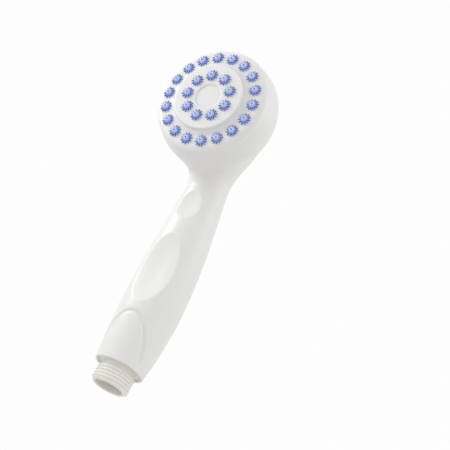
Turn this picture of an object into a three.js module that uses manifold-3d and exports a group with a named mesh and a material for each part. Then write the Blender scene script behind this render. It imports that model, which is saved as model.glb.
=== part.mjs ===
// A single-spray handheld shower head: a bent handle and bowl moulded in one, a threaded hose inlet
// joined to a curved water tube, and a spray face that screws out of the bowl for descaling.
// Millimetres. +Z runs up the axis of the hose thread, the origin is the centre of the inlet's end,
// and the spray faces -Y, tilted a little down.
import * as THREE from 'three';
import { mergeVertices } from 'three/addons/utils/BufferGeometryUtils.js';
import Module from 'manifold-3d';

const wasm = await Module();
wasm.setup();

// Driving dimensions
const gap = 0.3; // between pieces that rest on each other
const wall = 2.6; // of the outer shell

const faceForward = 59; // face centre, ahead of the thread axis
const faceHeight = 154.6;
const faceTilt = 17.2; // degrees that the spray looks down

const headRadius = 35;
const faceFlat = 30.4; // flat part of the face, before its rounded shoulder
const facePlateRadius = 33.9;
const seamHeight = -5; // where the face plate meets the bowl
const seamGap = 0.3;
const bowlDepth = 39;

const leanTop = 15.6; // how far the handle's axis has moved forward at neckHeight
const neckHeight = 140;
const neckBottom = 132; // from here up to neckTop the handle also sweeps into the bowl
const neckTop = 182;
const neckSweep = 23;
const straightHeight = 12; // the handle's axis is the thread axis up to here
const leanPower = 1.8;

const rimHeight = 10.85; // lower edge of the handle
const rimRadius = 13.85;

const threadMajor = 10.48; // G 1/2 male thread
const threadDepth = 1.16;
const threadPitch = 1.814;
const threadTop = 11.6;
const inletBore = 7.75;

const tubeRadius = 6;
const tubeBore = 4.6;
const tubeBottom = 27;
const tubeTop = 146.5;
const grooveDepth = 0.8;
const smallSealRadius = 0.45; // section radius of the tube's O-rings
const lowerSealHeight = 31.5;
const upperSealHeights = [133, 139];
const socketBottom = 126; // the handle is solid round the tube from here up

const outerRing = { radius: 26.5, count: 18, firstAngle: 0 };
const innerRing = { radius: 12.9, count: 9, firstAngle: 20 };
const outerWeb = { inner: 18.3, outer: 28.4, bottom: -4, top: -2.9 }; // sheet that joins the outer nozzles
const innerWeb = { inner: 5.8, outer: 17.6, bottom: -0.5, top: 0.6 };
const plateauRise = 3.4;
const plateauRadius = 20.6;
const nozzleRadius = 3.45;
const nozzleStem = 1.7;
const petals = 6;

const capRadius = 6.9;
const facePitch = 3;
const faceThreadRoot = 30; // of the face plate's male thread
const faceThreadDepth = 0.9;
const faceThreadGap = 0.45;
const skirtBore = 28.8;
const skirtBottom = -12;
const sealSeat = -13.3; // shoulder in the bowl that the face seal presses on

// Geometry helpers

function solid(geometry) {
  geometry.deleteAttribute('normal');
  geometry.deleteAttribute('uv');
  const merged = mergeVertices(geometry, 1e-4);
  const index = merged.index.array;
  const kept = [];
  for (let i = 0; i < index.length; i += 3) {
    const [a, b, c] = [index[i], index[i + 1], index[i + 2]];
    if (a !== b && b !== c && c !== a) kept.push(a, b, c);
  }
  const vertProperties = new Float32Array(merged.attributes.position.array);
  return new wasm.Manifold(new wasm.Mesh({ numProp: 3, vertProperties, triVerts: new Uint32Array(kept) }));
}

function geometryOf(manifold) {
  const mesh = manifold.getMesh();
  const geometry = new THREE.BufferGeometry();
  geometry.setAttribute('position', new THREE.BufferAttribute(mesh.vertProperties, 3));
  geometry.setIndex(new THREE.BufferAttribute(mesh.triVerts, 1));
  geometry.computeVertexNormals();
  return geometry;
}

// A closed outline of [radius, height] pairs, anticlockwise with the radius to the right, about +Z.
function turned(outline, segments) {
  const points = outline.map(([r, h]) => new THREE.Vector2(r, h));
  const onAxis = outline[0][0] === 0 && outline.at(-1)[0] === 0;
  if (!onAxis) points.push(points[0].clone());
  return new THREE.LatheGeometry(points, segments).rotateX(Math.PI / 2);
}

// Adds points to an outline so that no side climbs more than step.
function divided(outline, step) {
  const onAxis = outline[0][0] === 0 && outline.at(-1)[0] === 0;
  const result = [];
  outline.forEach(([r, h], i) => {
    result.push([r, h]);
    if (i === outline.length - 1 && onAxis) return;
    const [nextR, nextH] = outline[(i + 1) % outline.length];
    const count = Math.ceil(Math.abs(nextH - h) / step);
    for (let k = 1; k < count; k++) {
      const share = k / count;
      result.push([r + (nextR - r) * share, h + (nextH - h) * share]);
    }
  });
  return result;
}

function movePoints(geometry, change) {
  const position = geometry.attributes.position;
  const point = new THREE.Vector3();
  for (let i = 0; i < position.count; i++) {
    point.fromBufferAttribute(position, i);
    change(point);
    position.setXYZ(i, point.x, point.y, point.z);
  }
  return geometry;
}

function lean(z) {
  return leanTop * (Math.max(0, z - straightHeight) / (neckHeight - straightHeight)) ** leanPower;
}

function followHandle(geometry) {
  return movePoints(geometry, (p) => {
    p.y -= lean(p.z);
  });
}

function bentRing(outline, segments, step = 8) {
  return solid(followHandle(turned(divided(outline, step), segments)));
}

// Radius added by a right-hand thread: 0 at the root and 1 at the crest.
function threadShape(height, angle, pitch) {
  const turn = height / pitch - angle / (2 * Math.PI);
  const across = 1 - Math.abs(2 * (turn - Math.floor(turn)) - 1);
  return THREE.MathUtils.clamp(1.5 * across - 0.25, 0, 1);
}

function addThread(geometry, { near, pitch, depth, bottom, top, fade }) {
  return movePoints(geometry, (p) => {
    const radius = Math.hypot(p.x, p.y);
    if (Math.abs(radius - near) > 0.01) return;
    const ends = Math.min(p.z - bottom, top - p.z) / fade;
    const height = depth * threadShape(p.z, Math.atan2(p.y, p.x), pitch) * THREE.MathUtils.clamp(ends, 0, 1);
    p.x *= (radius + height) / radius;
    p.y *= (radius + height) / radius;
  });
}

function ringPlaces({ radius, count, firstAngle }) {
  return Array.from({ length: count }, (_, i) => {
    const angle = THREE.MathUtils.degToRad(firstAngle) + (i * 2 * Math.PI) / count;
    return [radius * Math.cos(angle), radius * Math.sin(angle)];
  });
}

const headMatrix = new THREE.Matrix4()
  .makeRotationX(THREE.MathUtils.degToRad(90 + faceTilt))
  .setPosition(0, -faceForward, faceHeight);

// Handle and bowl, one moulding

const handleOutline = new THREE.SplineCurve([
  [rimRadius, 12], [14.45, 16], [15.3, 23], [16.2, 34], [17, 53], [15.9, 83], [13.6, 110], [12.1, 129], [13, 137],
  [15.5, 144], [19, 152], [21.5, 160], [20.5, 170], [15, 179], [10, 183],
].map(([r, z]) => new THREE.Vector2(r, z)));

// Leaf-shaped hollows pressed into the front of the handle for the thumb, angles in degrees.
const grips = [
  { middle: 65, halfLength: 21.5, halfWidth: 40, depth: 2.6 },
  { middle: 107, halfLength: 9.5, halfWidth: 30, depth: 1.1 },
];

function gripDepth(angle, z, grip) {
  const along = 1 - ((z - grip.middle) / grip.halfLength) ** 2;
  if (along <= 0) return 0;
  const across = 1 - (angle / (grip.halfWidth * along)) ** 2;
  return grip.depth * along * Math.max(0, across);
}

function pressGrips(geometry) {
  return movePoints(geometry, (p) => {
    const radius = Math.hypot(p.x, p.y);
    if (radius === 0) return;
    const angle = THREE.MathUtils.radToDeg(Math.atan2(p.x, -p.y));
    const depth = grips.reduce((sum, grip) => sum + gripDepth(angle, p.z, grip), 0);
    p.x *= (radius - depth) / radius;
    p.y *= (radius - depth) / radius;
  });
}

const handleProfile = handleOutline.getPoints(150);

// Above the neck the handle sweeps forward into the back of the bowl.
function sweepForward(geometry) {
  const rise = (z) => Math.max(0, z - neckBottom) / (neckTop - neckBottom);
  return movePoints(geometry, (p) => {
    p.y -= neckSweep * rise(p.z) ** 1.5;
  });
}

function handleRadius(z) {
  const next = handleProfile.find((p) => p.y >= z) ?? handleProfile.at(-1);
  const last = handleProfile[Math.max(0, handleProfile.indexOf(next) - 1)];
  return THREE.MathUtils.mapLinear(z, last.y, next.y, last.x, next.x);
}

function handleSolid({ inset, bottom, top, rows, segments }) {
  const flank = side(0, bottom, top, rows)
    .map(([, z]) => [handleRadius(Math.max(z, rimHeight + 1.2)) - inset, z]);
  return solid(sweepForward(followHandle(pressGrips(turned([[0, bottom], ...flank, [0, top]], segments)))));
}

function faceThread(near) {
  return {
    near, pitch: facePitch, depth: faceThreadDepth, bottom: sealSeat - facePitch, top: facePitch, fade: 1,
  };
}

// Evenly spaced points up a straight side.
function side(radius, bottom, top, rows) {
  return Array.from({ length: rows + 1 }, (_, i) => [radius, bottom + ((top - bottom) * i) / rows]);
}

function bowlOutside() {
  return solid(turned([
    [0, -bowlDepth], [10, -38.2], [20, -35], [27.5, -30], [32.2, -24], [34.6, -18], [headRadius, -13],
    [34.75, -9], [facePlateRadius + 0.1, seamHeight - seamGap], [0, seamHeight - seamGap],
  ], 36).applyMatrix4(headMatrix));
}

function bowlInside() {
  const near = faceThreadRoot + faceThreadGap;
  const outline = [
    [0, wall - bowlDepth], [15, -33], [24.5, -28], [29.6, -22], [31.2, -17.5], [28.6, -15], [28.6, sealSeat],
    ...side(near, sealSeat, seamHeight + 1, 11), [0, seamHeight + 1],
  ];
  return solid(addThread(turned(outline, 32), faceThread(near)).applyMatrix4(headMatrix));
}

// Passage from the top of the tube up and forward into the bowl.
const passage = new THREE.QuadraticBezierCurve3(
  new THREE.Vector3(0, -17, tubeTop),
  new THREE.Vector3(0, -19.5, 157),
  new THREE.Vector3(0, -36, 161),
);

function pipe(curve, radius, sides) {
  const circle = new THREE.Shape().absarc(0, 0, radius, 0, 2 * Math.PI);
  return solid(new THREE.ExtrudeGeometry(circle, { steps: 8, extrudePath: curve, curveSegments: sides }));
}

function handleShell() {
  const ledge = { bottom: 20, top: 23, radius: 10 };
  const rimBore = rimRadius - 1.35;
  const socket = tubeRadius + gap;
  return handleSolid({ inset: 0, bottom: rimHeight, top: neckTop, rows: 28, segments: 32 })
    .add(bowlOutside())
    .subtract(bentRing([[0, 5], [rimBore, 5], [rimBore, ledge.bottom], [0, ledge.bottom]], 32))
    .subtract(bentRing([[0, 15], [ledge.radius, 15], [ledge.radius, 26], [0, 26]], 32))
    .subtract(handleSolid({ inset: wall, bottom: ledge.top, top: socketBottom, rows: 14, segments: 20 }))
    .subtract(bentRing([[0, 120], [socket, 120], [socket, tubeTop + gap], [0, tubeTop + gap]], 24))
    .subtract(pipe(passage, tubeBore, 8))
    .subtract(bowlInside());
}

// Water way

function inletSpigot() {
  const root = threadMajor - threadDepth;
  const rows = Math.round((threadTop / threadPitch) * 4);
  const outline = [
    [inletBore, 0], [root - 0.2, 0], ...side(root, 0.3, threadTop, rows),
    [9.2, 12.4], [9.2, 13.2], [12.2, 13.2], [12.2, 19.7], [9.6, 19.7], [9.6, 24.2], [8.6, 24.2], [8.6, 25.9],
    [9.6, 25.9], [9.4, 36.5], [tubeRadius + gap, 36.5], [tubeRadius + gap, 26.5], [4.8, 26.5], [4.8, 22],
    [inletBore - 1, 20.5], [inletBore, 19.5],
  ];
  const thread = { near: root, pitch: threadPitch, depth: threadDepth, bottom: 0.3, top: threadTop, fade: 1 };
  return solid(followHandle(addThread(turned(outline, 28), thread)));
}

function pierced(body, places, radius, height) {
  const drill = new THREE.CylinderGeometry(radius, radius, 6, 5).rotateX(Math.PI / 2);
  return places.reduce((left, [x, y]) => left.subtract(solid(drill.clone().translate(x, y, height))), body);
}

function inletStrainer() {
  const cup = bentRing(
    [[0, 12.6], [5, 12.9], [7.4, 14.4], [7.4, 15.8], [6.6, 15.8], [6.6, 14.9], [4.6, 13.8], [0, 13.4]],
    20,
  );
  const places = [...ringPlaces({ radius: 1.6, count: 4, firstAngle: 0 }),
    ...ringPlaces({ radius: 3.9, count: 8, firstAngle: 15 })];
  return pierced(cup, places, 0.6, 13.5);
}

function flowRestrictor() {
  const body = bentRing(
    [[0, 16.1], [7.4, 16.1], [7.4, 16.8], [6.7, 16.8], [6.7, 18.2], [7.4, 18.2], [7.4, 19], [5.5, 19.4],
      [0, 19.4]],
    24,
  );
  return pierced(body, ringPlaces({ radius: 3.6, count: 6, firstAngle: 0 }), 0.9, 18);
}

function retainingWasher() {
  return bentRing([[10, 23.3], [12.1, 23.3], [12.1, 24.1], [10, 24.1]], 32);
}

function retainingClip() {
  const ring = bentRing([[8.9, 24.45], [11.9, 24.45], [11.9, 25.65], [8.9, 25.65]], 32);
  return ring.subtract(solid(new THREE.BoxGeometry(6, 8, 4).translate(0, 11, 25)));
}

function groove(height) {
  const half = smallSealRadius + 0.25;
  const floor = tubeRadius - grooveDepth;
  const [low, high] = [height - half, height + half];
  return [[tubeRadius, low], [floor, low], [floor, high], [tubeRadius, high]];
}

function waterTube() {
  return bentRing([
    [tubeBore, tubeBottom], [tubeRadius - 0.4, tubeBottom],
    ...[lowerSealHeight, ...upperSealHeights].flatMap(groove),
    [tubeRadius - 0.4, tubeTop], [tubeBore, tubeTop],
  ], 18, 14);
}

function seal(radius, section, height, segments = 18) {
  return new THREE.TorusGeometry(radius, section, 5, segments).translate(0, 0, height);
}

function tubeSeal(height) {
  return solid(followHandle(seal(tubeRadius - grooveDepth + smallSealRadius + 0.1, smallSealRadius, height)));
}

// Spray face, in its own frame: +Z leaves the face, 0 is the surface of the outer ring.

function drilled(body, radius, bottom, surface, sides) {
  const cut = (ring, top) => {
    const drill = new THREE.CylinderGeometry(radius, radius, 10, sides).rotateX(Math.PI / 2);
    return ringPlaces(ring).map(([x, y]) => solid(drill.clone().translate(x, y, top + bottom + 5)));
  };
  const cuts = [...cut(outerRing, 0), ...cut(innerRing, surface)];
  return cuts.reduce((left, hole) => left.subtract(hole), body);
}

function facePlate() {
  const outline = [
    [2.3, -2.4], [5.4, -2.4], [5.4, 0.9], [18, 0.9], [18, -2.6], [skirtBore, -2.6], [skirtBore, skirtBottom],
    ...side(faceThreadRoot, skirtBottom, seamHeight - 0.4, 9), [faceThreadRoot, seamHeight],
    [facePlateRadius, seamHeight], [33.7, -3], [32.7, -1.2], [31.6, -0.3], [faceFlat, 0],
    [plateauRadius + 0.8, 0], [plateauRadius, 0.9], [plateauRadius - 0.3, plateauRise - 0.6],
    [plateauRadius - 0.9, plateauRise], [capRadius + 1.1, plateauRise], [capRadius + 0.3, plateauRise - 0.7],
    [capRadius + 0.3, 2], [4.4, 2], [4.4, -1], [2.3, -1],
  ];
  const blank = solid(addThread(turned(outline, 36), faceThread(faceThreadRoot)));
  const through = drilled(blank, nozzleStem + gap, -5, plateauRise, 6);
  return drilled(through, nozzleRadius + gap, -1.2, plateauRise, 9);
}

function nozzle(base, surface) {
  const outline = Array.from({ length: 2 * petals }, (_, i) => {
    const angle = (i * Math.PI) / petals;
    const radius = i % 2 ? nozzleRadius - 1 : nozzleRadius;
    return new THREE.Vector2(radius * Math.cos(angle), radius * Math.sin(angle));
  });
  const star = new THREE.ExtrudeGeometry(new THREE.Shape(outline), { depth: 2.1, bevelEnabled: false });
  const stem = turned([[0, base], [nozzleStem, base], [nozzleStem, surface + 1.2], [1, surface + 2.1],
    [0, surface + 2.1]], 6);
  const bore = new THREE.CylinderGeometry(0.45, 0.45, 30, 5).rotateX(Math.PI / 2);
  return solid(star.translate(0, 0, surface - 0.9)).add(solid(stem)).subtract(solid(bore));
}

function nozzleMat(ring, web, surface) {
  const one = nozzle(web.bottom, surface);
  const sheet = solid(turned(
    [[web.inner, web.bottom], [web.outer, web.bottom], [web.outer, web.top], [web.inner, web.top]],
    36,
  ));
  const bore = new THREE.CylinderGeometry(0.45, 0.45, 30, 5).rotateX(Math.PI / 2);
  return ringPlaces(ring).reduce(
    (mat, [x, y]) => mat.subtract(solid(bore.clone().translate(x, y, 0))).add(one.translate([x, y, 0])),
    sheet,
  );
}

function distributionPlate() {
  const blank = solid(turned([
    [2.05, -9.5], [7, -9.5], [7, -2], [15.5, -2], [15.5, -5.6], [28.4, -5.6], [28.4, -4.3], [17.3, -4.3],
    [17.3, -0.8], [5.9, -0.8], [5.9, -2.8], [2.05, -2.8],
  ], 28));
  return drilled(blank, 1.1, -8, plateauRise, 5);
}

function centreScrew() {
  const head = solid(turned([[0, 0.5], [3.6, 0.5], [3.6, 1.4], [2.6, 2.1], [0, 2.1]], 20));
  const shank = solid(turned([[0, -9.2], [1.2, -9.2], [1.9, -8], [1.9, 0.8], [0, 0.8]], 12));
  const slot = new THREE.BoxGeometry(0.9, 4, 1.6).translate(0, 0, 2.1);
  const cross = slot.clone().rotateZ(Math.PI / 2);
  return head.add(shank).subtract(solid(slot)).subtract(solid(cross));
}

function screwWasher() {
  return solid(turned([[2.3, -0.2], [4.1, -0.2], [4.1, 0.2], [2.3, 0.2]], 20));
}

function centreCap() {
  return solid(turned([
    [3.9, 2.3], [capRadius, 2.3], [capRadius, 2.5], [capRadius - 0.3, 2.75],
    [3.5, 2.8], [0, 2.8], [0, 2.35], [3.9, 2.35],
  ], 32));
}

// Assembly

const white = { color: 0xf1f1ee, roughness: 0.28 };
const cream = { color: 0xe6e2d3, roughness: 0.4 };
const blue = { color: 0x5f7fd0, roughness: 0.5 };
const black = { color: 0x1d1d1f, roughness: 0.7 };
const steel = { color: 0xb9bcc0, roughness: 0.3, metalness: 1 };

const shower = new THREE.Group();
const face = new THREE.Group();
headMatrix.decompose(face.position, face.quaternion, face.scale);
shower.add(face);

function place(parent, name, look, body) {
  const mesh = new THREE.Mesh(geometryOf(body), new THREE.MeshStandardMaterial(look));
  mesh.name = name;
  parent.add(mesh);
}

place(shower, 'handle_shell', white, handleShell());
place(shower, 'inlet_spigot', cream, inletSpigot());
place(shower, 'inlet_strainer', steel, inletStrainer());
place(shower, 'flow_restrictor', cream, flowRestrictor());
place(shower, 'restrictor_seal', black, solid(followHandle(seal(7.2, 0.4, 17.5))));
place(shower, 'retaining_washer', cream, retainingWasher());
place(shower, 'retaining_clip', steel, retainingClip());
place(shower, 'water_tube', cream, waterTube());
place(shower, 'tube_lower_seal', black, tubeSeal(lowerSealHeight));
upperSealHeights.forEach((height, i) => place(shower, `tube_upper_seal_${i + 1}`, black, tubeSeal(height)));

place(face, 'face_seal', black, solid(seal(29.9, 0.4, (skirtBottom + sealSeat) / 2, 32)));
place(face, 'face_plate', white, facePlate());
place(face, 'outer_nozzle_mat', blue, nozzleMat(outerRing, outerWeb, 0));
place(face, 'inner_nozzle_mat', blue, nozzleMat(innerRing, innerWeb, plateauRise));
place(face, 'distribution_plate', white, distributionPlate());
place(face, 'screw_seal', black, solid(seal(3.2, 0.35, -0.6, 20)));
place(face, 'screw_washer', steel, screwWasher());
place(face, 'centre_screw', steel, centreScrew());
place(face, 'centre_cap', white, centreCap());

export default shower;
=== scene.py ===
import math

import bmesh
import bpy
import numpy as np
from mathutils import Matrix, Vector


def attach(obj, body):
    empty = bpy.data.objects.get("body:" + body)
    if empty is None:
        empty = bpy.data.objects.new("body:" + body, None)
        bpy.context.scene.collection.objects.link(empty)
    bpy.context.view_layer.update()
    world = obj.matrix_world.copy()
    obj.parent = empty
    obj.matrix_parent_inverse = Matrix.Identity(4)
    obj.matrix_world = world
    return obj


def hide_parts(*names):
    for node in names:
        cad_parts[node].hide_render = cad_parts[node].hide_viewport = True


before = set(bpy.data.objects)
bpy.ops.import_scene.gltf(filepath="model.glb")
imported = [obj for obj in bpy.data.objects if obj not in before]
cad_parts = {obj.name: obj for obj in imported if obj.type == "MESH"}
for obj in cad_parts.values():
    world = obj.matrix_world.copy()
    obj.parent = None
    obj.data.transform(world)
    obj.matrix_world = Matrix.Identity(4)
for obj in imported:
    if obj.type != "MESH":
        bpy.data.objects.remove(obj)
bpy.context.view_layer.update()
mm = 0.001  # every size in the dictionaries is in millimetres
tiny = 1e-9  # keeps divisions safe at the axis
onRoot = 0.01  # how near a thread's root radius a point counts as on it

# the spray face's centre, and how far it looks down in degrees
head = {"forward": 59, "height": 154.6, "tilt": 17.2}
faceAngle = 90 + head["tilt"]
facePlace = Vector((0, -head["forward"], head["height"])) * mm
spray = Vector((0, -math.cos(math.radians(head["tilt"])), -math.sin(math.radians(head["tilt"]))))


def spline(points, perSpan=20):
    # smooth line through the points
    ends = [points[0], *points, points[-1]]
    line = []
    for a, b, c, d in zip(ends, ends[1:], ends[2:], ends[3:]):
        a, b, c, d = (np.array(p, float) for p in (a, b, c, d))
        m, n = (c - a) / 2, (d - b) / 2
        for t in np.linspace(0, 1, perSpan, endpoint=False):
            cubic, square = (2 * b - 2 * c + m + n) * t**3, (3 * c - 3 * b - 2 * m - n) * t**2
            line.append(cubic + square + m * t + b)
    return np.array([*line, points[-1]])


def rounded(corners, arcSteps=7, support=0.12):
    # a closed outline of (radius, height, fillet); a point beside each fillet keeps the flats flat
    line = []
    count = len(corners)
    for i, (r, z, fillet) in enumerate(corners):
        here = np.array((r, z), float)
        if fillet == 0:
            line.append(here)
            continue
        before = np.array(corners[i - 1][:2], float) - here
        after = np.array(corners[(i + 1) % count][:2], float) - here
        lengths = np.linalg.norm(before), np.linalg.norm(after)
        before, after = before / lengths[0], after / lengths[1]
        half = math.acos(np.clip(before @ after, -1, 1)) / 2
        reach = fillet / math.tan(half)
        start, end = here + before * reach, here + after * reach
        middle = here + (before + after) / np.linalg.norm(before + after) * fillet / math.sin(half)
        if lengths[0] > reach + support:
            line.append(start + before * support)
        a, b = start - middle, end - middle
        sweep = math.acos(np.clip(a @ b / fillet**2, -1, 1))
        for t in np.linspace(0, 1, arcSteps):
            mixed = a * math.sin((1 - t) * sweep) + b * math.sin(t * sweep)
            line.append(middle + mixed / math.sin(sweep))
        if lengths[1] > reach + support:
            line.append(end + after * support)
    return line


def divided(line, step):
    # more points along the long straight stretches
    result = [line[0]]
    for a, b in zip(line, line[1:]):
        count = max(1, math.ceil(np.linalg.norm(np.subtract(b, a)) / step))
        result += [np.add(a, np.subtract(b, a) * k / count) for k in range(1, count + 1)]
    return result


def withWall(line, isBefore, radius, span):
    # points up a straight wall, put in after the last point that lies before it
    place = max(i for i, point in enumerate(line) if isBefore(*point)) + 1
    return line[:place] + wallPoints(radius, span) + line[place:]


def wallPoints(radius, span):
    return [(radius, z) for z in np.arange(*span)]


def ringsAbout(line, segments):
    # one ring for each (radius, height) point; angle 0 is towards -Y, as on the handle
    angles = np.arange(segments) * 2 * math.pi / segments
    return np.array([[(r * math.sin(a), -r * math.cos(a), z) for a in angles] for r, z in line])


def headMatrix(unit=1):
    # from the spray face's own axes, with +Z out of the face, to the object's
    turn = Matrix.Rotation(math.radians(faceAngle), 4, "X")
    return Matrix.Translation((0, -head["forward"] * unit, head["height"] * unit)) @ turn


def threadShape(height, angle, pitch, fullness=1.5):
    # 0 at the root and 1 at the crest of a right-hand thread
    turn = height / pitch - angle / (2 * math.pi)
    across = 1 - np.abs(2 * (turn - np.floor(turn)) - 1)
    flank = np.clip(fullness * across - (fullness - 1) / 2, 0, 1)
    return flank * (1 + flank * (1 - flank))


def threaded(rings, thread):
    # rings in the thread's own frame; only the points on its root radius move
    x, y, z = rings[..., 0], rings[..., 1], rings[..., 2]
    radius = np.hypot(x, y)
    ends = np.clip(np.minimum(z - thread["bottom"], thread["top"] - z) / thread["fade"], 0, 1)
    lift = thread["depth"] * threadShape(z, np.arctan2(y, x), thread["pitch"]) * ends
    lift = np.where(np.abs(radius - thread["root"]) < onRoot, lift, 0)
    scale = (radius + lift) / np.maximum(radius, tiny)
    return rings * np.stack([scale, scale, np.ones_like(scale)], -1)


def skin(name, rings, closed=False):
    # a spun ladder of rings, each point then moved to its place
    rows, segments = rings.shape[:2]
    bm = bmesh.new()
    rungs = [bm.verts.new((1, 0, i)) for i in range(rows)]
    rails = [bm.edges.new(pair) for pair in zip(rungs, rungs[1:])]
    if closed:
        rails.append(bm.edges.new((rungs[-1], rungs[0])))
    bmesh.ops.spin(bm, geom=rungs + rails, cent=(0, 0, 0), axis=(0, 0, 1), angle=2 * math.pi,
                   steps=segments, use_merge=True)
    for v in bm.verts:
        column = round(math.atan2(v.co.y, v.co.x) / (2 * math.pi) * segments) % segments
        v.co = rings[round(v.co.z), column] * mm
    bmesh.ops.remove_doubles(bm, verts=bm.verts, dist=1e-7)
    bmesh.ops.recalc_face_normals(bm, faces=bm.faces)
    return meshPiece(name, bm)


def meshPiece(name, bm):
    mesh = bpy.data.meshes.new(name)
    bm.to_mesh(mesh)
    bm.free()
    piece = bpy.data.objects.new(name, mesh)
    bpy.context.scene.collection.objects.link(piece)
    return piece


def cut(piece, *cutters, weld=2e-6):
    for cutter in cutters:
        boolean = piece.modifiers.new("cut", "BOOLEAN")
        boolean.operation = "DIFFERENCE"
        boolean.solver = "EXACT"
        boolean.object = cutter
    bpy.context.view_layer.update()
    evaluated = piece.evaluated_get(bpy.context.evaluated_depsgraph_get())
    mesh = bpy.data.meshes.new_from_object(evaluated)
    piece.modifiers.clear()
    piece.data = mesh
    for cutter in cutters:
        bpy.data.objects.remove(cutter)
    # a cut leaves doubled points along its edge
    bm = bmesh.new()
    bm.from_mesh(mesh)
    bmesh.ops.remove_doubles(bm, verts=bm.verts, dist=weld)
    bmesh.ops.triangulate(bm, faces=bm.faces)
    bm.to_mesh(mesh)
    bm.free()
    return piece


def finishPiece(piece, body, material, node, sharpAngle=35):
    piece.data.shade_smooth()
    piece.data.set_sharp_from_angle(angle=math.radians(sharpAngle))
    piece.data.materials.clear()
    piece.data.materials.append(material)
    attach(piece, body)
    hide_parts(node)
    print(piece.name, "has", len(piece.data.polygons), "faces")


class Socket:
    # an output that can be added to, multiplied and so on
    def __init__(self, paint, output):
        self.paint, self.output = paint, output

    def maths(self, operation, other, flipped=False):
        pair = (other, self) if flipped else (self, other)
        return self.paint.node("ShaderNodeMath", {"operation": operation}, {0: pair[0], 1: pair[1]})

    def __add__(self, other):
        return self.maths("ADD", other)

    def __sub__(self, other):
        return self.maths("SUBTRACT", other)

    def __rsub__(self, other):
        return self.maths("SUBTRACT", other, True)

    def __mul__(self, other):
        return self.maths("MULTIPLY", other)

    __radd__ = __add__
    __rmul__ = __mul__


class Paint:
    # a material whose nodes are added one call at a time
    def __init__(self, name, **constants):
        self.material = bpy.data.materials.new(name)
        self.material.use_nodes = True
        self.tree = self.material.node_tree
        self.shader = self.tree.nodes["Principled BSDF"]
        self.place = Socket(self, self.tree.nodes.new("ShaderNodeTexCoord").outputs["Object"])
        self.set(**constants)

    def link(self, value, target):
        if isinstance(value, Socket):
            self.tree.links.new(value.output, target)
        else:
            target.default_value = value

    def node(self, kind, settings=None, sockets=None, output=0):
        made = self.tree.nodes.new(kind)
        for key, value in (settings or {}).items():
            if key == "stops":
                while len(made.color_ramp.elements) < len(value):
                    made.color_ramp.elements.new(0.5)
                for element, (position, colour) in zip(made.color_ramp.elements, value):
                    element.position, element.color = position, colour
            else:
                setattr(made, key, value)
        for key, value in (sockets or {}).items():
            self.link(value, made.inputs[key])
        return Socket(self, made.outputs[output])

    def noise(self, scale, detail=2, place=None):
        sockets = {"Vector": place or self.place, "Scale": scale, "Detail": detail}
        return self.node("ShaderNodeTexNoise", {}, sockets)

    def blend(self, share, look):
        sockets = {0: share, 6: (*look["shade"], 1), 7: (*look["colour"], 1)}
        return self.node("ShaderNodeMix", {"data_type": "RGBA"}, sockets, output=2)

    def bump(self, height):
        return self.node("ShaderNodeBump", {}, {"Height": height, "Strength": 1, "Distance": 1})

    def set(self, **inputs):
        for socket, value in inputs.items():
            self.link(value, self.shader.inputs[socket.replace("_", " ")])
        return self.material


def mouldedPlastic(name, look):
    # injection moulded plastic: a faint ripple, slightly uneven gloss and a hint of tint drift
    glow = {"Subsurface_Weight": look["glow"], "Subsurface_Radius": look["glowReach"]}
    paint = Paint(name, IOR=1.5, **glow)
    colour = paint.blend(paint.noise(look["driftScale"], 3), look)
    gloss = paint.noise(look["glossScale"], 4) * look["glossRange"] + look["roughness"]
    ripple = paint.noise(look["rippleScale"]) * look["ripple"]
    grain = paint.noise(look["grainScale"], 4) * look["grain"]
    return paint.set(Base_Color=colour, Roughness=gloss, Normal=paint.bump(ripple + grain))


def softRubber(name, look, surface=None):
    # satin rubber; with a surface height, its blue goes from painted shade at the nozzles' roots to a
    # painted highlight at their tips
    paint = Paint(name, IOR=1.47)
    cloud = paint.noise(look["cloudScale"], 3)
    if surface is None:
        colour = paint.blend(cloud, look)
    else:
        along = paint.node("ShaderNodeVectorMath", {"operation": "DOT_PRODUCT"},
                           {0: paint.place, 1: spray}, 1)
        height = (along - (facePlace.dot(spray) + surface * mm)) * (1 / (look["height"] * mm))
        # painted shade low on each nozzle and a painted highlight at its tip, set by height above the
        # face
        stops = [(share, (*colour, 1)) for share, colour in look["rise"]]
        clouded = height + cloud * look["cloudShift"] - look["cloudShift"] / 2
        colour = paint.node("ShaderNodeValToRGB", {"stops": stops}, {"Fac": clouded})
    rough = paint.noise(look["skinScale"], 3) * look["skinGloss"] + look["roughness"]
    skinHeight = paint.noise(look["skinScale"], 3) * look["skin"]
    return paint.set(Base_Color=colour, Roughness=rough, Normal=paint.bump(skinHeight))


def turnedSteel(name, look):
    # stainless steel with fine tool marks
    paint = Paint(name, Metallic=1)
    stretched = paint.node("ShaderNodeMapping", {}, {"Vector": paint.place, "Scale": look["marks"]})
    marks = paint.noise(look["scale"], 4, stretched)
    rough = marks * look["marksGloss"] + look["roughness"]
    return paint.set(Base_Color=paint.blend(marks, look), Roughness=rough)


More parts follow.
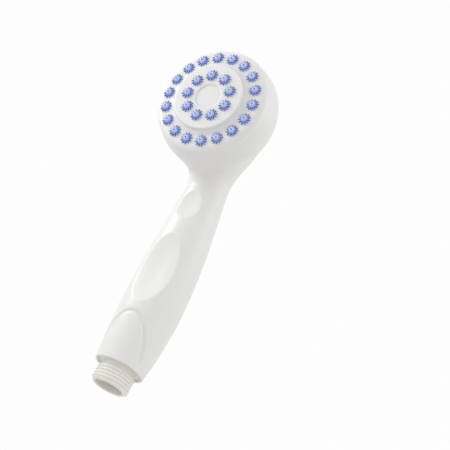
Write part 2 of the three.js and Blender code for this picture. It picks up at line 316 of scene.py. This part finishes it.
whiteLook = {
    "colour": (0.86, 0.86, 0.85), "shade": (0.84, 0.84, 0.83), "driftScale": 25,
    "roughness": 0.27, "glossScale": 90, "glossRange": 0.1,
    "rippleScale": 60, "ripple": 0.00005, "grainScale": 1500, "grain": 0.000006,
    "glow": 0.06, "glowReach": (0.003, 0.003, 0.0025),
}
innerLook = {
    **whiteLook, "colour": (0.8, 0.8, 0.78), "shade": (0.76, 0.76, 0.74), "roughness": 0.45,
    "glow": 0,
}
creamLook = {
    **whiteLook, "colour": (0.93, 0.915, 0.87), "shade": (0.905, 0.885, 0.835),
    "roughness": 0.36, "grain": 0.00001, "glow": 0.08,
}
nozzleLook = {
    # the blue rubber with painted shade, deep blue, at the root and a painted highlight, pale, at the
    # tip, as shares of the nozzle's height
    "rise": [(0.05, (0.08, 0.13, 0.42)), (0.3, (0.17, 0.26, 0.72)), (0.45, (0.28, 0.4, 0.9)),
             (0.6, (0.44, 0.57, 1)), (0.95, (0.62, 0.72, 1))],
    "height": 2.2, "cloudScale": 200, "cloudShift": 0.1,
    "roughness": 0.3, "skinScale": 1800, "skin": 0.00001, "skinGloss": 0.15,
}
sealLook = {
    "colour": (0.022, 0.022, 0.024), "shade": (0.014, 0.014, 0.015), "cloudScale": 300,
    "roughness": 0.5, "skinScale": 2500, "skin": 0.000008, "skinGloss": 0.15,
}
steelLook = {
    "colour": (0.62, 0.62, 0.63), "shade": (0.5, 0.5, 0.51),
    "scale": 900, "marks": (1, 1, 0.1), "roughness": 0.2, "marksGloss": 0.2,
}

shellWhite = mouldedPlastic("shell white plastic", whiteLook)
faceWhite = mouldedPlastic("face white plastic", {**whiteLook, "roughness": 0.3})
capWhite = mouldedPlastic("cap white plastic", {**whiteLook, "roughness": 0.32, "rippleScale": 120})
innerWhite = mouldedPlastic("inner white plastic", innerLook)
inletCream = mouldedPlastic("inlet cream plastic", creamLook)
acetal = mouldedPlastic("acetal", {**creamLook, "roughness": 0.42})
sealBlack = softRubber("black seal rubber", sealLook)
stainless = turnedSteel("stainless steel", steelLook)
print("plastics, rubber and steel ready")


# handle and bowl, one shell
handle = {
    # radius and height up the handle, then up through the neck into the bowl
    "outline": [(13.9, 12), (14.45, 16), (15.3, 23), (16.2, 34), (17, 53), (15.9, 83), (13.6, 110),
                (12.1, 129), (13, 137), (15.5, 144), (19, 152), (21.3, 160), (19.3, 168.5),
                (13, 175.5), (6, 179)],
    "top": 177,
    "lean": 15.6, "leanFrom": 12, "leanTo": 140, "leanPower": 1.8,
    "sweep": 23, "sweepFrom": 132, "sweepTo": 182, "sweepPower": 1.5,
    # radius, height and fillet from the ledge inside, round the rim and up to the first ring
    "lip": [(0, 20, 0), (12.5, 20, 0.5), (12.5, 10.85, 0.3), (13.85, 10.85, 0.45), (13.85, 12.1, 0),
            (0, 12.1, 0)],
    "lipStep": 1.5, "wall": 2.6,
    # first and last height and step of the rings round the lower handle and round the grips
    "lowRings": (12.1, 42, 0.5), "gripRings": (42, 118.1, 0.75),
    "neckFrom": 118, "neckSteps": 96, "chin": -42.1, "neckReach": 40,
    "joinRadius": 15,  # how softly the neck runs into the bowl
    "segments": 192,
}
bowl = {
    # radius and height behind the spray face
    "outline": [(0, -39), (10, -38.2), (20, -35), (27.5, -30.2), (32.3, -24.4), (34.5, -19),
                (35, -14.5), (34.6, -9.5), (33.67, -5.3), (32.95, -2)],
    "inside": [(28.6, -13.3), (28.6, -15), (31.2, -17.5), (29.6, -22), (24.5, -28), (15, -33),
               (0, -36.4)],
    "seam": -5.3, "seamInside": 33.4, "threadRoot": 30.45, "threadWall": (-5.3, -13.31, -0.4),
    "step": 1.2,
}
faceThread = {"pitch": 3, "depth": 0.9, "bottom": -16.3, "top": 3, "fade": 1}
grips = [  # hollows for the thumb: middle height, half length, half width in degrees, depth
    {"middle": 65, "halfLength": 21.5, "halfWidth": 38, "depth": 3.7},
    {"middle": 107, "halfLength": 9.5, "halfWidth": 29, "depth": 1.9},
]
tongue = {  # the panel over the rim, and the soft groove round it
    "bottom": 10, "height": 27.3, "halfWidth": 15.4, "groove": 0.85, "softness": 0.85,
    "fadeFrom": 13, "fadeOver": 6, "frontOnly": 100,
}
passage = {  # where the water tube runs, up to the bowl
    "entry": [(0, 15), (10, 15), (10, 23)], "wideFrom": 23, "wideTo": 126, "wideSteps": 40,
    "neck": [(6.3, 126), (6.3, 146.8), (4.6, 146.8)], "followsGrips": 8,
    "bend": [(-17.2, 147), (-19.5, 157), (-36, 161)], "bendFrom": 0.05, "bendSteps": 14,
    "bendRadius": 4.6, "step": 3, "segments": 48,
}

handleLine = spline(handle["outline"])
bowlLine = spline(bowl["outline"], 30)


def lean(z):
    share = np.maximum(0, z - handle["leanFrom"]) / (handle["leanTo"] - handle["leanFrom"])
    return handle["lean"] * share ** handle["leanPower"]


def sweepForward(z):
    share = np.maximum(0, z - handle["sweepFrom"]) / (handle["sweepTo"] - handle["sweepFrom"])
    return handle["sweep"] * share ** handle["sweepPower"]


def handleRadius(z):
    return np.interp(z, handleLine[:, 1], handleLine[:, 0])


def gripDepth(angle, z):
    # angle in degrees from the front
    total = np.zeros(np.broadcast(angle, z).shape)
    for grip in grips:
        up, across = (z - grip["middle"]) / grip["halfLength"], angle / grip["halfWidth"]
        total = total + grip["depth"] * np.maximum(0, 1 - (up**2 + across**2))
    return total


def tongueDepth(angle, z):
    # how far the groove goes in, from the distance to an ellipse drawn on the handle
    x, up = np.radians(angle) * handleRadius(z), z - tongue["bottom"]
    a, b = tongue["halfWidth"], tongue["height"]
    reach = np.maximum(np.sqrt((x / a) ** 2 + (up / b) ** 2), tiny)
    slope = np.sqrt((x / a**2) ** 2 + (up / b**2) ** 2) / reach
    distance = (reach - 1) / np.maximum(slope, tiny)
    fade = np.clip((z - tongue["fadeFrom"]) / tongue["fadeOver"], 0, 1)
    fade = fade * (np.abs(angle) < tongue["frontOnly"])
    return tongue["groove"] * np.exp(-((distance / tongue["softness"]) ** 2)) * fade


def handleRing(z, segments):
    degrees = (np.arange(segments) * 360 / segments + 180) % 360 - 180
    radius = handleRadius(z) - gripDepth(degrees, z) - tongueDepth(degrees, z)
    turn = np.radians(degrees)
    y = -lean(z) - sweepForward(z) - radius * np.cos(turn)
    return np.stack([radius * np.sin(turn), y, np.full(segments, float(z))], -1)


def shellField(points):
    # negative inside the handle or the bowl, with their join rounded
    x, z = points[..., 0], points[..., 2]
    y = points[..., 1] + lean(z) + sweepForward(z)
    degrees = np.degrees(np.arctan2(x, -y))
    toHandle = np.hypot(x, y) - handleRadius(z) + gripDepth(degrees, z)
    toHandle = np.maximum(toHandle, z - handle["top"])
    matrix = np.array(headMatrix().inverted())
    local = points @ matrix[:3, :3].T + matrix[:3, 3]
    radius, height = np.hypot(local[..., 0], local[..., 1]).ravel(), local[..., 2].ravel()
    distance = np.full(len(radius), np.inf)
    for nearRadius, nearHeight in bowlLine:
        distance = np.minimum(distance, np.hypot(radius - nearRadius, height - nearHeight))
    beyond = radius > np.interp(height, bowlLine[:, 1], bowlLine[:, 0])
    outside = beyond | (height < bowlLine[0, 1])
    toBowl = np.where(outside, distance, -distance).reshape(x.shape)
    join = handle["joinRadius"]
    overlap = np.maximum(join - np.abs(toHandle - toBowl), 0) / join
    return np.minimum(toHandle, toBowl) - overlap**2 * join / 4


def loopAbout(middle, forward, segments):
    # directions round a centre on a plane that holds the X axis and a (y, z) direction
    angles = np.arange(segments) * 2 * math.pi / segments
    ways = np.outer(np.sin(angles), (1, 0, 0)) + np.outer(np.cos(angles), (0, *forward))
    return np.tile((0, *middle), (segments, 1)), ways


def neckRings(bottom, segments, steps, settling=70, damping=0.75):
    # rings on planes that fan round a line under the chin, from the handle's last ring to the seam
    chin = np.array((handle["chin"], bottom))
    loops = []
    for turn in np.radians(np.linspace(0, faceAngle, steps + 1)[1:]):
        reach = -chin[0] - lean(bottom)
        reach += (handle["neckReach"] - reach) * turn / math.radians(faceAngle)
        forward = np.array((-math.cos(turn), -math.sin(turn)))
        loops.append(loopAbout(chin - forward * reach, forward, segments))
    centres, ways = (np.array(part) for part in zip(*loops))
    reach = np.full(centres.shape[:2], 2.0)
    for _ in range(settling):
        reach -= damping * shellField(centres + ways * reach[..., None])
    return centres + ways * reach[..., None]


def handleShell():
    segments = handle["segments"]
    lip = rounded(handle["lip"], 8)[:-2]  # the last two corners only shape the rim's fillet
    bottom = ringsAbout(divided(lip, handle["lipStep"]), segments)
    heights = [*np.arange(*handle["lowRings"]), *np.arange(*handle["gripRings"])]
    middle = np.array([handleRing(z, segments) for z in heights])
    neck = neckRings(handle["neckFrom"], segments, handle["neckSteps"])
    wall = wallPoints(bowl["threadRoot"], bowl["threadWall"])
    well = divided([(bowl["seamInside"], bowl["seam"]), *wall, *bowl["inside"]], bowl["step"])
    front = threaded(ringsAbout(well, segments), {**faceThread, "root": bowl["threadRoot"]})
    matrix = headMatrix()
    front = front @ np.array(matrix.to_3x3()).T + np.array(matrix.translation)
    shell = skin("handleShell", np.concatenate([bottom, middle, neck, front]))
    return cut(shell, waterPassage())


def waterPassage():
    segments = passage["segments"]
    heights = np.linspace(passage["wideFrom"], passage["wideTo"], passage["wideSteps"])
    wide = [(handleRadius(z) - handle["wall"], z) for z in heights]
    line = divided([*passage["entry"], *wide, *passage["neck"]], passage["step"])
    rings = ringsAbout(line, segments)
    x, y, z = rings[..., 0], rings[..., 1], rings[..., 2]
    radius = np.hypot(x, y)
    depth = gripDepth(np.degrees(np.arctan2(x, -y)), z)
    depth = np.where(radius > passage["followsGrips"], depth, 0)
    rings[..., :2] *= ((radius - depth) / np.maximum(radius, tiny))[..., None]
    rings[..., 1] -= lean(z)
    a, b, c = (np.array(point, float) for point in passage["bend"])
    bend = []
    for t in np.linspace(passage["bendFrom"], 1, passage["bendSteps"]):
        middle = (1 - t) ** 2 * a + 2 * t * (1 - t) * b + t * t * c
        way = (1 - t) * (b - a) + t * (c - b)
        way = way / np.linalg.norm(way)
        centres, ways = loopAbout(middle, (-way[1], way[0]), segments)
        bend.append(centres + ways * passage["bendRadius"])
    end = np.tile(bend[-1].mean(0), (1, segments, 1))
    return skin("passage", np.concatenate([rings, np.array(bend), end]))


finishPiece(handleShell(), "handset", shellWhite, "handle_shell", 50)


# spray face: plate, nozzles and cap
facePlate = {
    # radius, height and fillet, anticlockwise from the hub
    "outline": [(2.3, -2.4, 0), (5.4, -2.4, 0.2), (5.4, 0.9, 0.2), (18, 0.9, 0.3), (18, -2.6, 0.2),
                (28.8, -2.6, 0.3), (28.8, -12, 0.15), (30, -12, 0.15), (30, -5.27, 0),
                (33.65, -5.27, 0.03), (32.5, 0, 4.3), (23.4, 0.3, 3), (21.1, 1.6, 0.5),
                (20.2, 3.4, 0.9), (7.95, 3.4, 0.75), (6.97, 2.7, 0.05), (6.97, 2, 0),
                (4.4, 2, 0.1), (4.4, -1, 0.1), (2.3, -1, 0)],
    "threadRoot": 30, "threadFoot": -11, "threadWall": (-11.6, -5.2, 0.35), "segments": 256,
    "holeRadius": 2, "holeSegments": 32, "holeAbove": 2, "holeBelow": 3,
}
# each row's web is its inner and outer radius, bottom and top
outerRow = {"radius": 26.5, "count": 18, "first": 0, "surface": 0.2, "web": (18.3, 28.4, -4, -2.9)}
innerRow = {"radius": 12.9, "count": 9, "first": 20, "surface": 3.4, "web": (5.8, 17.6, -0.5, 0.6)}
nozzle = {
    "fins": 11, "samples": 12, "finWidth": 0.7, "stem": 1.7, "root": 0.3, "webFillet": 0.3,
    "webSegments": 160,
    # height above the face, radius between the fins, radius at the fins' tips
    "levels": [(-0.6, 1.7, 1.7), (-0.6, 1.95, 3.3), (0.1, 1.93, 3.6), (0.5, 1.9, 3.65),
               (0.72, 1.87, 3.5), (0.88, 1.82, 3.15), (1.02, 1.76, 2.65), (1.17, 1.66, 2.2),
               (1.32, 1.52, 1.8), (1.48, 1.38, 1.47), (1.68, 1.24, 1.24), (1.95, 1.14, 1.14),
               (2.12, 1.02, 1.02), (2.18, 0.85, 0.85), (2.12, 0.66, 0.66), (1.8, 0.5, 0.5),
               (1, 0.42, 0.42), (0.8, 0, 0)],
}
cap = {
    "outline": [(0, 2.35, 0), (3.9, 2.35, 0), (3.9, 2.3, 0), (6.93, 2.3, 0.05), (6.93, 2.72, 0.12),
                (0, 2.8, 0)],
    "step": 0.8, "segments": 128,
}


def around(row):
    for i in range(row["count"]):
        angle = math.radians(row["first"]) + i * 2 * math.pi / row["count"]
        yield row["radius"] * math.cos(angle), row["radius"] * math.sin(angle), angle


def drill(row):
    # the cylinders that open the plate for one row of nozzle stems
    bottom, top = row["web"][3] - facePlate["holeBelow"], row["surface"] + facePlate["holeAbove"]
    radius = facePlate["holeRadius"] * mm
    bm = bmesh.new()
    for x, y, _ in around(row):
        place = Matrix.Translation(Vector((x, y, (bottom + top) / 2)) * mm)
        bmesh.ops.create_cone(bm, cap_ends=True, segments=facePlate["holeSegments"], radius1=radius,
                              radius2=radius, depth=(top - bottom) * mm, matrix=place)
    return meshPiece("stemHoles", bm)


def sprayPlate():
    root = facePlate["threadRoot"]
    line = [tuple(point) for point in rounded(facePlate["outline"], 9)]
    line = withWall(line, lambda r, z: abs(r - root) < onRoot and z < facePlate["threadFoot"], root,
                    facePlate["threadWall"])
    rings = threaded(ringsAbout(line, facePlate["segments"]), {**faceThread, "root": root})
    plate = cut(skin("sprayPlate", rings, closed=True), drill(outerRow), drill(innerRow))
    plate.data.transform(headMatrix(mm))
    return plate


def nozzleRings(surface, floor):
    segments = nozzle["fins"] * nozzle["samples"]
    angles = np.arange(segments) * 2 * math.pi / segments
    across = np.abs(np.arange(segments) % nozzle["samples"] / nozzle["samples"] - 0.5)
    fin = np.clip(1 - 2 * across / nozzle["finWidth"], 0, 1)
    levels = [(surface + height, valley, tip) for height, valley, tip in nozzle["levels"]]
    rings = []
    for z, valley, tip in [(floor, 0, 0), (floor, nozzle["stem"], nozzle["stem"]), *levels]:
        radius = valley + (tip - valley) * fin
        points = [radius * np.cos(angles), radius * np.sin(angles), np.full(segments, z)]
        rings.append(np.stack(points, -1))
    return np.array(rings)


def nozzleMat(name, row):
    inner, outer, bottom, top = row["web"]
    corners = [(inner, bottom), (outer, bottom), (outer, top), (inner, top)]
    web = rounded([(*corner, nozzle["webFillet"]) for corner in corners], 4)
    mat = skin(name, ringsAbout(web, nozzle["webSegments"]), closed=True)
    one = skin("nozzle", nozzleRings(row["surface"], bottom + nozzle["root"]))
    bm = bmesh.new()
    bm.from_mesh(mat.data)
    for x, y, angle in around(row):
        start = len(bm.verts)
        bm.from_mesh(one.data)
        bm.verts.ensure_lookup_table()
        place = Matrix.Translation(Vector((x, y, 0)) * mm) @ Matrix.Rotation(angle, 4, "Z")
        bmesh.ops.transform(bm, matrix=place, verts=bm.verts[start:])
    bm.to_mesh(mat.data)
    bm.free()
    bpy.data.objects.remove(one)
    mat.data.transform(headMatrix(mm))
    return mat


def centreCap():
    line = divided(rounded(cap["outline"]), cap["step"])
    piece = skin("centreCap", ringsAbout(line, cap["segments"]))
    piece.data.transform(headMatrix(mm))
    return piece


outerBlue = softRubber("outer nozzle rubber", nozzleLook, outerRow["surface"])
innerBlue = softRubber("inner nozzle rubber", nozzleLook, innerRow["surface"])
finishPiece(sprayPlate(), "spray_face", faceWhite, "face_plate")
outerMat, innerMat = nozzleMat("outerNozzleMat", outerRow), nozzleMat("innerNozzleMat", innerRow)
finishPiece(outerMat, "spray_face", outerBlue, "outer_nozzle_mat", 50)
finishPiece(innerMat, "spray_face", innerBlue, "inner_nozzle_mat", 50)
finishPiece(centreCap(), "spray_face", capWhite, "centre_cap")


# threaded hose inlet
inlet = {
    "root": 9.32, "depth": 1.16, "pitch": 1.814, "threadBottom": 0.35, "threadTop": 9.1,
    "fade": 0.5, "bore": 7.75, "leadIn": 0.1, "wallFrom": 0.5, "stepsPerTurn": 14, "step": 2,
    "segments": 144,
    # radius, height and fillet, up from the thread and back down the bore
    "above": [(9.3, 11.2, 0), (9.3, 12.1, 0.3), (12.48, 12.1, 0.05), (12.48, 19.7, 0.3),
              (9.6, 19.7, 0.1), (9.6, 24.2, 0), (8.6, 24.2, 0), (8.6, 25.9, 0), (9.6, 25.9, 0.2),
              (9.4, 36.5, 0.4), (6.3, 36.5, 0.3), (6.3, 26.5, 0), (4.8, 26.5, 0), (4.8, 22, 0.4),
              (6.75, 20.5, 0), (7.75, 19.5, 0.3)],
}


def hoseInlet():
    root, bottom, top = inlet["root"], inlet["threadBottom"], inlet["threadTop"]
    corners = [(inlet["bore"], 0, 0.35), (root - inlet["leadIn"], 0, 0.3), (root, bottom, 0),
               (root, top, 0), *inlet["above"]]
    line = [tuple(point) for point in rounded(corners, 6)]
    span = inlet["wallFrom"], top, inlet["pitch"] / inlet["stepsPerTurn"]
    line = withWall(line, lambda r, z: r == root and z == bottom, root, span)
    rings = ringsAbout(divided(line + line[:1], inlet["step"])[:-1], inlet["segments"])
    rings = threaded(rings, {**inlet, "bottom": bottom, "top": top})
    rings[..., 1] -= lean(rings[..., 2])
    return skin("hoseInlet", rings, closed=True)


finishPiece(hoseInlet(), "handset", inletCream, "inlet_spigot", 50)


# inner pieces keep the frame's shapes
innerFinish = {
    "distribution_plate": innerWhite, "flow_restrictor": acetal, "retaining_washer": acetal,
    "water_tube": inletCream, "restrictor_seal": sealBlack, "tube_lower_seal": sealBlack,
    "tube_upper_seal_1": sealBlack, "tube_upper_seal_2": sealBlack, "face_seal": sealBlack,
    "screw_seal": sealBlack, "inlet_strainer": stainless, "retaining_clip": stainless,
    "screw_washer": stainless, "centre_screw": stainless,
}
for node, material in innerFinish.items():
    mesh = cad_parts[node].data
    mesh.materials.clear()
    mesh.materials.append(material)
print("inner pieces finished")


# floor, light and camera
studio = {"floorDepth": -300, "floorSize": 6000, "floor": (0.8, 0.79, 0.77), "sky": 0.86, "seen": 0.985}
lamps = [  # place, what it faces, size in mm, watts
    {"place": (-278, -215, 200), "at": (0, -60, 150), "size": 170, "power": 0.46},
    {"place": (420, 40, 430), "at": (0, -20, 130), "size": 340, "power": 0.3},
]
viewpoint = {
    "place": (185.3, -310.7, -91.8), "at": (18.5, -7.4, 108.7), "roll": 28.6, "lens": 56,
}


def facing(view, roll=0):
    # the turn of a lamp or camera that looks from its place to what it faces
    aim = (Vector(view["at"]) - Vector(view["place"])).to_track_quat("-Z", "Y").to_matrix()
    return (aim.to_4x4() @ Matrix.Rotation(math.radians(roll), 4, "Z")).to_euler()


bm = bmesh.new()
bmesh.ops.create_grid(bm, x_segments=1, y_segments=1, size=studio["floorSize"] / 2 * mm,
                      matrix=Matrix.Translation((0, 0, studio["floorDepth"] * mm)))
floor = meshPiece("floor", bm)
floorPaint = Paint("pale floor", Roughness=0.8)
floor.data.materials.append(floorPaint.set(Base_Color=(*studio["floor"], 1)))

for i, lamp in enumerate(lamps):
    light = bpy.data.lights.new(f"softbox {i + 1}", "AREA")
    light.size = lamp["size"] * mm
    light.energy = lamp["power"]
    softbox = bpy.data.objects.new(light.name, light)
    softbox.visible_camera = False
    softbox.location = Vector(lamp["place"]) * mm
    softbox.rotation_euler = facing(lamp)
    bpy.context.scene.collection.objects.link(softbox)

# the room lights the object with its sky, and is seen a little brighter
world = bpy.data.worlds.new("white room")
world.use_nodes = True
bpy.context.scene.world = world
tree = world.node_tree
either = tree.nodes.new("ShaderNodeMixShader")
rays = tree.nodes.new("ShaderNodeLightPath")
tree.links.new(rays.outputs["Is Camera Ray"], either.inputs[0])
dim, bright = tree.nodes["Background"], tree.nodes.new("ShaderNodeBackground")
for i, (background, strength) in enumerate([(dim, studio["sky"]), (bright, studio["seen"])]):
    background.inputs["Color"].default_value = (1, 1, 1, 1)
    background.inputs["Strength"].default_value = strength
    tree.links.new(background.outputs[0], either.inputs[i + 1])
tree.links.new(either.outputs[0], tree.nodes["World Output"].inputs["Surface"])

camera = bpy.data.objects.new("camera", bpy.data.cameras.new("camera"))
camera.data.lens = viewpoint["lens"]
camera.data.clip_start = 0.01
camera.location = Vector(viewpoint["place"]) * mm
camera.rotation_euler = facing(viewpoint, viewpoint["roll"])
bpy.context.scene.collection.objects.link(camera)
bpy.context.scene.camera = camera
bpy.context.scene.view_settings.view_transform = "Standard"
print("studio ready")
